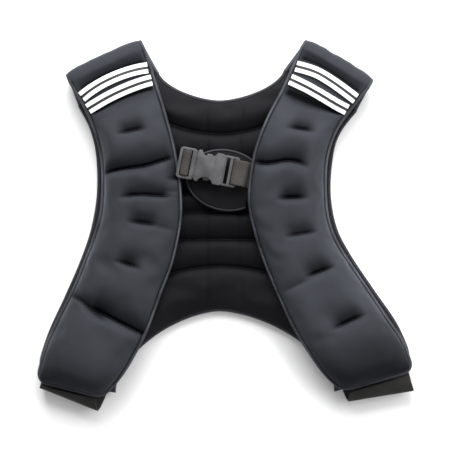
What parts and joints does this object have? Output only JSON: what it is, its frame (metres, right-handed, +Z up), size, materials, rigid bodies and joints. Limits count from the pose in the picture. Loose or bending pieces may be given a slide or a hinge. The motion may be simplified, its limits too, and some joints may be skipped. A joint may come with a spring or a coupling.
{
  "type": "weighted vest",
  "caption": "Padded weighted vest lying on its back, fastened at the chest, with reflective tapes, a mesh pocket and elastic side straps.",
  "frame": {"origin": "centre of the bounding box on the surface that the vest lies on", "axes": "+Z up from the surface, +Y towards the shoulders, +X to the right as the front is seen"},
  "size_m": [0.4594, 0.4426, 0.0555],
  "materials": {
    "neoprene": "matt knitted face with a soft sheen",
    "binding": "ribbed binding",
    "elastic": "ribbed elastic",
    "webbing": "woven webbing",
    "reflective": "reflective",
    "mesh": "open mesh",
    "plastic": "satin moulded"
  },
  "bodies": {
    "root": {"back_panel": "neoprene", "front_panel_left": "neoprene", "front_panel_right": "neoprene", "binding_back_outer": "binding", "binding_back_neck": "binding", "binding_front_left": "binding", "binding_front_right": "binding", "front_tape_left_upper": "reflective", "front_tape_left_lower": "reflective", "front_tape_right_upper": "reflective", "front_tape_right_lower": "reflective", "back_tape_left": "reflective", "back_tape_right": "reflective", "back_tape_centre": "reflective", "mesh_pocket": "mesh", "pocket_band": "elastic", "side_strap_left": "elastic", "side_strap_right": "elastic", "buckle_flap": "neoprene", "flap_binding": "binding", "buckle_plug": "plastic", "buckle_socket": "plastic", "webbing_left": "webbing", "webbing_right": "webbing"}
  },
  "joints": []
}
